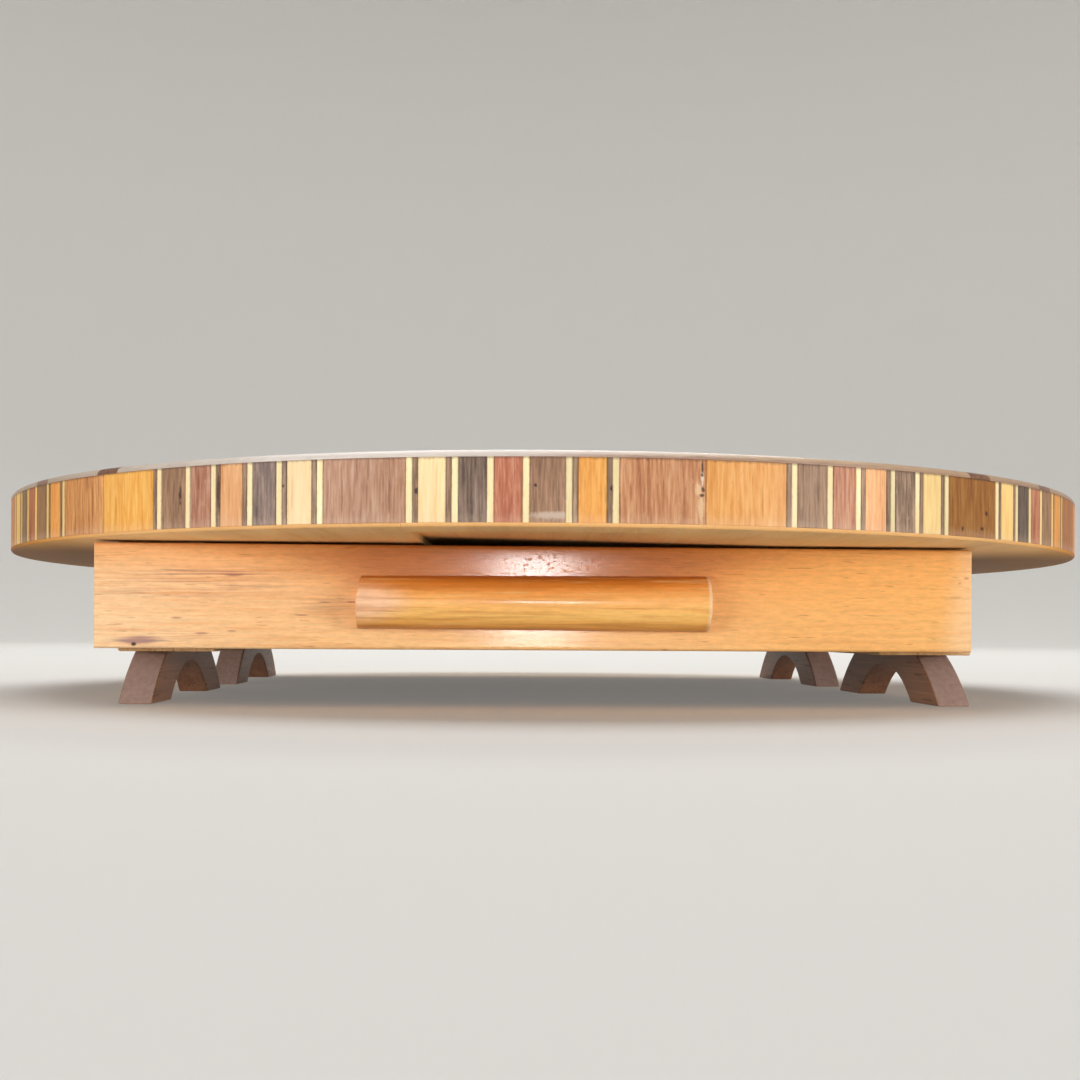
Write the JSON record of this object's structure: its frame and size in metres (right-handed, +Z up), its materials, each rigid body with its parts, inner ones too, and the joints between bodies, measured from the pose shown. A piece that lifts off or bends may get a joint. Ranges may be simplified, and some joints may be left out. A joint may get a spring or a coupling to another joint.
{
  "type": "wooden puzzle box",
  "caption": "Low wooden box: a thick round top with a striped edge of many timbers over a shallow square case with a sliding drawer and bar pull, on bow-shaped feet.",
  "frame": {"origin": "on the floor under the middle of the round top", "axes": "+Z up, the drawer opens along -Y, +X to the right seen from the drawer"},
  "size_m": [0.45, 0.45, 0.078],
  "materials": {
    "core_pine": "satin lacquer",
    "pale_sheet": "satin lacquer",
    "brown_inlay": "satin lacquer",
    "edge_amber": "satin lacquer",
    "edge_walnut": "satin lacquer",
    "edge_smoke": "satin lacquer",
    "edge_red": "satin lacquer",
    "edge_cream": "satin lacquer",
    "edge_russet": "satin lacquer",
    "edge_peach": "satin lacquer",
    "edge_pale_lines": "satin lacquer",
    "edge_dark_lines": "satin lacquer",
    "dark_hardwood": "worn oil",
    "case_pine": "bare",
    "drawer_pine": "bare",
    "plywood": "bare",
    "lacquered_pine": "gloss lacquer",
    "lacquered_pull": "gloss lacquer",
    "screw_steel": "zinc plated"
  },
  "bodies": {
    "case": {"top_board_far_left": "core_pine", "top_board_left": "core_pine", "top_board_middle": "core_pine", "top_board_right": "core_pine", "top_sheet_field": "pale_sheet", "top_sheet_front": "pale_sheet", "top_sheet_back": "pale_sheet", "top_sheet_left": "pale_sheet", "top_sheet_right": "pale_sheet", "top_inlay_front": "brown_inlay", "top_inlay_back": "brown_inlay", "top_inlay_left": "brown_inlay", "top_inlay_right": "brown_inlay", "edge_amber": "edge_amber", "edge_walnut": "edge_walnut", "edge_smoke": "edge_smoke", "edge_red": "edge_red", "edge_cream": "edge_cream", "edge_russet": "edge_russet", "edge_peach": "edge_peach", "edge_pale_lines": "edge_pale_lines", "edge_dark_lines": "edge_dark_lines", "case_side_left": "case_pine", "case_side_right": "case_pine", "case_back": "case_pine", "drawer_runner_left": "case_pine", "drawer_runner_right": "case_pine", "top_cleat_left": "case_pine", "top_cleat_right": "case_pine", "top_screws": "screw_steel", "foot_front_left": "dark_hardwood", "foot_front_right": "dark_hardwood", "foot_rear_left": "dark_hardwood", "foot_rear_right": "dark_hardwood"},
    "drawer": {"drawer_front": "lacquered_pine", "drawer_pull": "lacquered_pull", "drawer_side_left": "drawer_pine", "drawer_side_right": "drawer_pine", "drawer_back": "drawer_pine", "drawer_bottom": "plywood", "pull_screws": "screw_steel"}
  },
  "joints": [
    {"name": "drawer_slide", "type": "slide", "parent": "case", "child": "drawer", "axis": [0, -1, 0], "range_m": [0, 0.2]}
  ]
}
